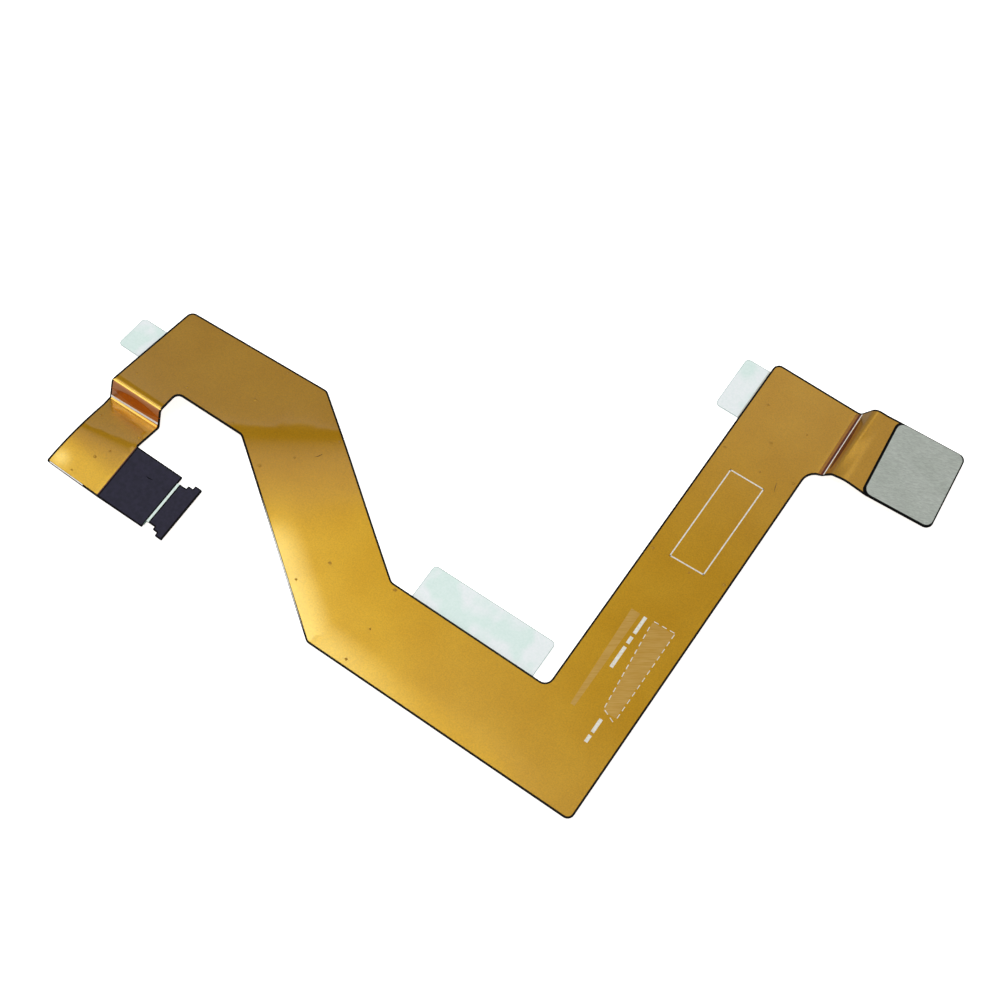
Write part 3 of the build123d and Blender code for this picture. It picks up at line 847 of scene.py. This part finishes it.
labelLook = {"corners": [(-9.67, 57.48), (-4.04, 57.55), (-4.17, 41.2), (-9.77, 41.0)], "step": 30}
strips = []
for a, b in sides(labelLook["corners"]):
    overlap = (b - a).normalized() * inkLook["line"] / 2
    strips.append({"points": [a - overlap, b + overlap], "width": inkLook["line"], "step": labelLook["step"]})
inkPiece("labelOutline", whiteInk, strips)

barLook = {"width": 0.55, "lines": [  # plain bars in place of words
    ((-7.54, 31.0), (-7.54, 28.0)), ((-7.54, 27.4), (-7.54, 26.2)), ((-7.54, 25.6), (-7.54, 21.9)),
    ((-4.46, 14.7), (-4.46, 12.4)), ((-4.46, 11.9), (-4.46, 10.7))]}
bars = [{"points": line, "width": barLook["width"], "step": inkLook["flatStep"]} for line in barLook["lines"]]
inkPiece("plainBars", whiteInk, bars)

hazeLook = {"lift": 0.004, "bands": [  # dull patch of the rubbed-off print
    {"points": [(-4.53, 31.0), (-3.9, 15.9)], "width": (3.5, 2.0)},
    {"points": [(-9.2, 31.0), (-9.0, 14.2)], "width": (1.5, 0.7)}]}
inkPiece("inkHaze", hazyInk,
         [{**band, "step": inkLook["flatStep"], "lift": hazeLook["lift"]} for band in hazeLook["bands"]])

dashLook = {"corners": [(-6.36, 31.1), (-2.7, 31.3), (-2.7, 15.2), (-5.0, 16.2)], "start": 0.2,
            "dash": 0.75, "gap": 0.55, "width": 0.13}
strips = []
for a, b in sides(dashLook["corners"]):
    way, length, at = (b - a).normalized(), (b - a).length, dashLook["start"]
    while at + dashLook["dash"] < length:
        strips.append({"points": [a + way * at, a + way * (at + dashLook["dash"])],
                       "width": dashLook["width"], "step": inkLook["flatStep"]})
        at += dashLook["dash"] + dashLook["gap"]
inkPiece("dashedBox", whiteInk, strips)

creaseLook = {  # marks along the two sharp folds: whitened crease lines, and painted shade, reflections and highlights beside them
    "foldWhitening": [{"points": [(1.85, 75.95), (2.11, 64.35)], "width": 0.15, "lift": 0.022},
                      {"points": [(-92.8, 15.17), (-84.0, 15.32)], "width": 0.16, "lift": 0.022}],
    "foldDeep": [{"points": [(1.6, 75.9), (1.85, 64.3)], "width": 0.34},
                 {"points": [(2.2, 75.2), (2.5, 64.6)], "width": 0.55, "lift": 0.006, "taper": True}],
    "foldWarm": [{"points": [(1.22, 75.9), (1.47, 64.3)], "width": 0.42, "lift": 0.008}],
    "foldLens": [{"points": [(-92.9, 15.78), (-83.7, 15.78)], "width": 0.62, "step": 0.3, "lift": 0.008,
                  "taper": True}],
    "foldShine": [{"points": [(-92.7, 14.98), (-84.1, 15.05)], "width": 0.22, "lift": 0.025},
                  {"points": [(-92.75, 16.6), (-83.9, 16.6)], "width": 0.2, "lift": 0.025}]}
creaseFilm = {"foldWhitening": foldWhiteAndGlintPaint, "foldDeep": foldShadePaint, "foldWarm": foldHalfShadePaint, "foldLens": foldReflectionPaint,
              "foldShine": foldShine}
for name, strips in creaseLook.items():
    inkPiece(name, creaseFilm[name], strips)

scratchLook = {"width": 0.1, "step": 0.1, "taper": True}
scratchLines = [[(-61.17, 23.84), (-60.8, 24.3), (-60.45, 25.1)],
                [(-3.0, 59.69), (-2.74, 58.7), (-2.45, 57.94)]]
inkPiece("hairScratches", hairLine,
         [{"points": line, **scratchLook} for line in scratchLines])

# painted highlights: bright glints along two cut edges
glintLook = {"width": 0.14, "tail": [(-93.3, 1.45), (-87.2, 1.4)], "slant": [(-64.0, 14.5), (-47.0, 1.7)]}
inkPiece("edgeGlint", foldWhiteAndGlintPaint, [
    {"points": glintLook["tail"], "width": glintLook["width"]},
    {"points": glintLook["slant"], "width": glintLook["width"], "taper": True}])


# small blisters over dust under the film
blisterLook = {"radius": 0.24, "spread": (0.75, 0.5), "height": 0.1, "squash": 0.8, "sides": 12,
               "shares": (1.0, 0.7, 0.35), "places": [
    (-90.76, 19.54), (-83.3, 22.01), (-74.0, 26.42), (-73.28, 33.24), (-74.14, 21.11), (-63.41, 21.99),
    (-59.71, 28.09), (-66.69, 17.87), (-87.27, 7.95), (-88.5, 5.93), (-89.94, 2.34), (-92.0, 11.72),
    (-85.15, 12.12), (-52.45, 7.3), (-49.89, 12.1), (-39.18, 7.18), (-39.36, 1.59), (-39.67, 14.04),
    (-12.33, 60.15), (-7.03, 64.57), (-5.92, 59.64), (-0.9, 60.83), (-0.87, 41.54), (-6.04, 40.25),
    (-12.45, 40.57), (-3.29, 68.71), (-10.67, 69.64)]}


def ringEdges(ring):
    return list(dict.fromkeys(e for v in ring for e in v.link_edges if e.other_vert(v) in ring))


bm = bmesh.new()
least, spread = blisterLook["spread"]
for i, (x, y) in enumerate(blisterLook["places"]):
    size = blisterLook["radius"] * (least + spread * ((i * 7) % 5) / 4)
    rings = []
    for share in blisterLook["shares"]:
        lift = blisterLook["height"] * (1 - share * share)
        ring = bmesh.ops.create_circle(bm, segments=blisterLook["sides"], radius=size * share)["verts"]
        for v in ring:
            px, py = x + v.co.x, y + v.co.y * blisterLook["squash"]
            v.co = toFrame(px, py, heightAt(px, py) + lift)
        rings.append(ring)
    for one, two in zip(rings, rings[1:]):
        bmesh.ops.bridge_loops(bm, edges=ringEdges(one) + ringEdges(two))
    bm.faces.new(rings[-1])
faceUp(bm)
for f in bm.faces:
    f.smooth = True
finishPiece(bm, "filmBlisters", [amberFilm])
print("marks done")


# flat pieces whose faces have a rim of their own: liners, steel plate, and the tail's film and board


def layer(name, corners, low, high, margin, materials):
    bm = bmesh.new()
    rings = [roundedLoop(corners), roundedLoop(corners, margin)]
    rimmedFace(bm, *([bm.verts.new(toFrame(p.x, p.y, high)) for p in ring] for ring in rings))
    thicken(bm, (0, 0, (low - high) * mm))
    for f in bm.faces:
        if abs(f.normal.z) < 0.5:
            f.material_index = 1
    return finishPiece(bm, name, materials)


linerEdge = {"margin": 0.1, "round": 0.7}
for name, fall in (("head_liner", headSlope), ("cross_liner", 0), ("arm_liner", 0)):
    low, high = [Vector(c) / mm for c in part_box(name)]
    a, b = [Vector((c.x - shift[0], c.y - shift[1])) for c in (low, high)]
    thick = high.z - low.z - fall * (b.y - a.y)
    corners = [((x, y), linerEdge["round"]) for x, y in ((a.x, a.y), (b.x, a.y), (b.x, b.y), (a.x, b.y))]
    materials = [linerFilm, linerRim]
    piece = layer(name[:-6] + "LinerFilm", corners, 0, thick, linerEdge["margin"], materials)
    for v in piece.data.vertices:
        v.co.z += (high.z - thick) * mm - fall * (v.co.y - low.y * mm)
    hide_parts(name)

plateLook = {"margin": 0.1, "bond": 0.05, "steel": 0.25}
tilt = radians(plan["droop"])
plateAxis = Vector((sin(tilt), 0, cos(tilt)))
halfX, halfY = plan["plateLength"] / 2, plan["plateWidth"] / 2
corners = [((x * halfX, y * halfY), plateRound) for x, y in ((-1, -1), (1, -1), (1, 1), (-1, 1))]


def plateRing(bm, margin, lift):
    ring = []
    for p in roundedLoop(corners, margin):
        x, y = turned(p.x, p.y)
        top = topLevel + sheet - (x - plan["crest"]) * tan(tilt)
        ring.append(bm.verts.new(toFrame(*(Vector((x, y, top)) + plateAxis * lift))))
    return ring


bm = bmesh.new()
high = plateLook["bond"] + plateLook["steel"]
rimmedFace(bm, plateRing(bm, 0, high), plateRing(bm, plateLook["margin"], high))
thicken(bm, plateAxis * -plateLook["steel"] * mm)
piece = finishPiece(bm, "padPlate", [steelSheet, plateDarkRim])
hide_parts("stiffener_plate")
print("liners and plate done")

tailLook = {"margin": 0.2, "cover": 0.06, "board": 0.18, "markTail": 0.7, "markShift": (0.12, 0.02),
            "mark": {"width": 0.2, "step": 0.3}, "markLift": 0.008,
            "glueBack": 0.08, "glueIn": (0.2, 0.1), "glue": {"width": 0.18, "step": 20},
            "creaseLine": [(-80.48, 7.86), (-79.9, 7.8), (-79.23, 7.93)], "creaseLift": 0.01,
            "crease": {"width": 0.16, "step": 0.1, "taper": True}}
top = tailLevel + sheet
filmCorners = [((filmStart, tailNear), fineRound / 2), (leaned(filmEnd, tailNear), fineRound / 2),
               (leaned(filmEnd, filmFar), fineRound / 2), ((filmStart, filmFar), fineRound / 2)]
for name, node, corners, lift, material, slot in (
        ("coverFilm", "tail_film", filmCorners, tailLook["cover"], blackFilm, "black_film"),
        ("tipLaminate", "tip_board", tipRing(boardHalf), tailLook["board"], tipFilm, "tip_laminate")):
    piece = layer(name, corners, top, top + lift, tailLook["margin"], [material, rimFilm])
    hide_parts(node)
markCorner = Vector(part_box("insertion_line")[0]) / mm - Vector((*shift, 0))
spot = (markCorner.x + tailLook["markShift"][0], markCorner.y + tailLook["markShift"][1])
inkPiece("markTail", dimInk, [
    {"points": [(spot[0], spot[1] - tailLook["markTail"]), spot],
     "lift": tailLook["board"] + tailLook["markLift"], **tailLook["mark"]}])
glueX, (glueLow, glueHigh) = filmStart - tailLook["glueBack"], tailLook["glueIn"]
inkPiece("glueLine", redMargin, [
    {"points": [(glueX, tailNear + glueLow), (glueX, filmFar - glueHigh)], **tailLook["glue"]}])
inkPiece("filmCrease", filmCrease, [
    {"points": tailLook["creaseLine"],
     "lift": tailLook["cover"] + tailLook["creaseLift"], **tailLook["crease"]}])
print("tail dressed")


# floor, light and camera

floorLook = {"half": 6, "drop": 0.0005}  # metres
bm = bmesh.new()
bmesh.ops.create_grid(bm, x_segments=1, y_segments=1, size=floorLook["half"])
floorMesh = bpy.data.meshes.new("floor")
bm.to_mesh(floorMesh)
bm.free()
floorPaint, tree, shader = newMaterial("paleFloor", {
    "Base Color": (0.93, 0.93, 0.93, 1), "Roughness": 0.9, "Specular IOR Level": 0.1,
    "Emission Color": (1, 1, 1, 1), "Emission Strength": 0.8})
floorMesh.materials.append(floorPaint)
floor = bpy.data.objects.new("floor", floorMesh)
floor.location.z = -floorLook["drop"]
floor.visible_glossy = False  # the folds mirror the dim room, not the table
scene.collection.objects.link(floor)

world = bpy.data.worlds.new("studio")
world.use_nodes = True
scene.world = world
sky = world.node_tree
# brightness of the room over its three directions: a tent with a dark gap low at the back
skyLook = {
    "Y": [(-1.0, 0.5), (0.0, 0.8), (0.2, 0.95), (0.35, 0.92), (0.45, 0.92), (0.5, 0.85), (0.54, 0.5),
          (0.565, 0.05), (0.601, 0.03), (0.607, 1.1), (0.62, 0.72), (0.645, 0.57), (0.8, 0.5), (1.0, 0.5)],
    "X": [(-1.0, 0.55), (-0.7, 0.5), (-0.5, 0.75), (-0.38, 1.0), (-0.11, 0.98), (-0.08, 0.84), (0.13, 0.8),
          (0.5, 0.7), (1.0, 0.5)],
    "Z": [(-1.0, 0.75), (-0.04, 0.7), (0.12, 1.0)]}
spotLook = [  # one bright lamp tent and two dark shapes
    {"toward": (-0.33, 0.1, 0.94), "reach": (0.03, 0.165), "color": (5.4, 7.0, 5.4)},
    {"toward": (-0.235, 0.275, 0.932), "reach": (0.01, 0.09), "color": (0.45, 0.45, 0.45)},
    {"toward": (-0.11, 0.31, 0.944), "reach": (0.03, 0.13), "color": (0.2, 0.2, 0.2)}]
roomPower, rampScale = 8.0, 2  # a ramp's colours stop at 1, so they are halved
sight = addNode(sky, "ShaderNodeTexCoord").outputs["Generated"]
parts = addNode(sky, "ShaderNodeSeparateXYZ", None, {"Vector": sight})
shine = None
limits = {"From Min": -1.0, "From Max": 1.0, "To Min": 0.0, "To Max": 1.0}
for axis, steps in skyLook.items():
    share = addNode(sky, "ShaderNodeMapRange", limits, {"Value": parts.outputs[axis]})
    ramp = addNode(sky, "ShaderNodeValToRGB", None, {"Fac": share.outputs["Result"]})
    for i, (place, value) in enumerate(steps):
        point = ramp.color_ramp.elements[i] if i < 2 else ramp.color_ramp.elements.new((place + 1) / 2)
        point.position = (place + 1) / 2
        point.color = (*[value / rampScale] * 3, 1)
    tone = ramp.outputs["Color"]
    if shine:
        tone = addNode(sky, "ShaderNodeMix", multiplyMix, {mixOne: shine, mixTwo: tone}).outputs[mixOut]
    shine = tone
for spot in spotLook:
    apart = addNode(sky, "ShaderNodeVectorMath", {"operation": "DISTANCE", 1: spot["toward"]}, {0: sight})
    near, far = spot["reach"]
    limits = {"interpolation_type": "SMOOTHSTEP", "From Min": near, "From Max": far,
              "To Min": 1.0, "To Max": 0.0}
    share = addNode(sky, "ShaderNodeMapRange", limits, {"Value": apart.outputs["Value"]})
    colors = {"data_type": "RGBA", mixOne: (1, 1, 1, 1), mixTwo: (*spot["color"], 1)}
    tint = addNode(sky, "ShaderNodeMix", colors, {"Factor": share.outputs["Result"]})
    dimmed = addNode(sky, "ShaderNodeMix", multiplyMix, {mixOne: shine, mixTwo: tint.outputs[mixOut]})
    shine = dimmed.outputs[mixOut]
back = sky.nodes["Background"]
back.inputs["Strength"].default_value = roomPower
sky.links.new(shine, back.inputs["Color"])

keyLook = {"place": (-0.25, -0.03, 0.87), "size": (0.5, 0.25), "power": 2.8}  # metres and watts
keyData = bpy.data.lights.new("softKey", "AREA")
keyData.shape = "RECTANGLE"
keyData.size, keyData.size_y = keyLook["size"]
keyData.energy = keyLook["power"]
lamp = bpy.data.objects.new("softKey", keyData)
lamp.location = keyLook["place"]
lamp.visible_glossy = False
lamp.rotation_euler = (Vector(keyLook["place"]) * -1).to_track_quat("-Z", "Y").to_euler()
scene.collection.objects.link(lamp)

cameraLook = {"place": (30.387, -61.436, 280.281), "right": (0.825113, 0.564967, 0.0),
              "up": (-0.521961, 0.762305, 0.382683), "back": (0.216204, -0.315757, 0.92388),
              "lens": 74.16, "sensor": 36.0, "clip": (0.01, 30.0)}
cameraData = bpy.data.cameras.new("view")
cameraData.sensor_width, cameraData.lens = cameraLook["sensor"], cameraLook["lens"]
cameraData.clip_start, cameraData.clip_end = cameraLook["clip"]
camera = bpy.data.objects.new("view", cameraData)
rows = [cameraLook[k] for k in ("right", "up", "back")]
camera.matrix_world = Matrix.Translation(toFrame(*cameraLook["place"])) @ Matrix(rows).transposed().to_4x4()
scene.collection.objects.link(camera)
scene.camera = camera
scene.view_settings.view_transform = "Standard"
print("stage done")
